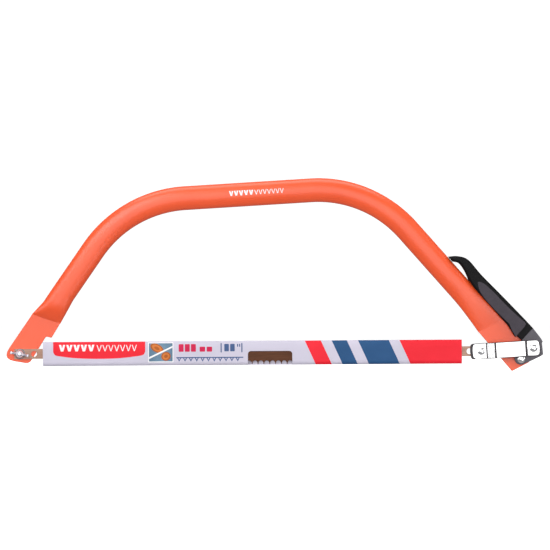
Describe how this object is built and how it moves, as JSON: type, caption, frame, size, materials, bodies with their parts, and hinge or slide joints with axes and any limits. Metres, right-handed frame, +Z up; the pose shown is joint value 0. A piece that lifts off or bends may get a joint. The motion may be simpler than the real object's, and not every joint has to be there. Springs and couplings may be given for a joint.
{
  "type": "bow saw",
  "caption": "Bow saw: bent oval-tube bow with flattened ends, wing-nut blade clamp, blade in a printed sleeve, and an over-centre tension lever with a joggled link.",
  "frame": {"origin": "midway between the blade's two outer pin holes, in the middle of the blade's thickness", "axes": "+X along the blade towards the tension lever, +Z up with the teeth down, front on -Y"},
  "size_m": [0.605, 0.0208, 0.2189],
  "materials": {
    "orange_paint": "satin powder coat",
    "blade_steel": "hardened, bronze-brown film",
    "printed_card": "gloss film over print",
    "zinc": "bright zinc plate",
    "dark_steel": "oiled dark",
    "nickel": "bright nickel plate",
    "black_paint": "satin",
    "black_plastic": "satin moulded"
  },
  "bodies": {
    "bow": {"frame_tube": "orange_paint", "blade": "blade_steel", "clamp_bolt": "zinc", "pivot_rivet": "nickel", "pivot_spacer_front": "dark_steel", "pivot_spacer_rear": "dark_steel"},
    "washer": {"clamp_washer": "dark_steel"},
    "nut": {"wing_nut": "zinc"},
    "lever": {"tension_lever": "black_paint", "lever_grip": "black_plastic", "grip_pin": "dark_steel"},
    "link": {"link_plate_front": "nickel", "link_plate_rear": "nickel", "link_rivet": "nickel", "link_spacer": "dark_steel"},
    "pin": {"blade_pin": "nickel"},
    "sleeve": {"sleeve_front": "printed_card", "sleeve_rear": "printed_card", "sleeve_fold": "printed_card"}
  },
  "joints": [
    {"name": "lever_hinge", "type": "hinge", "parent": "bow", "child": "lever", "pos_m": [0.3049, 0, -0.009], "axis": [0, 1, 0], "range_deg": [0, 100]},
    {"name": "link_hinge", "type": "hinge", "parent": "lever", "child": "link", "pos_m": [0.3186, 0, 0.0033], "axis": [0, 1, 0], "range_deg": [-75, 5]},
    {"name": "blade_pin_pull", "type": "slide", "parent": "link", "child": "pin", "axis": [0, -1, 0], "range_m": [0, 0.012]},
    {"name": "washer_travel", "type": "slide", "parent": "bow", "child": "washer", "axis": [0, -1, 0], "range_m": [0, 0.00325]},
    {"name": "wing_nut_spin", "type": "hinge", "parent": "washer", "child": "nut", "pos_m": [-0.26, 0, 0], "axis": [0, -1, 0], "range_deg": [0, 1440]},
    {"name": "sleeve_pull", "type": "slide", "parent": "bow", "child": "sleeve", "axis": [0, 0, -1], "range_m": [0, 0.045]}
  ],
  "couplings": [
    {"joint": "link_hinge", "follows": "lever_hinge", "ratio": -0.712},
    {"joint": "washer_travel", "follows": "wing_nut_spin", "m_per_rad": 0.00012732}
  ]
}
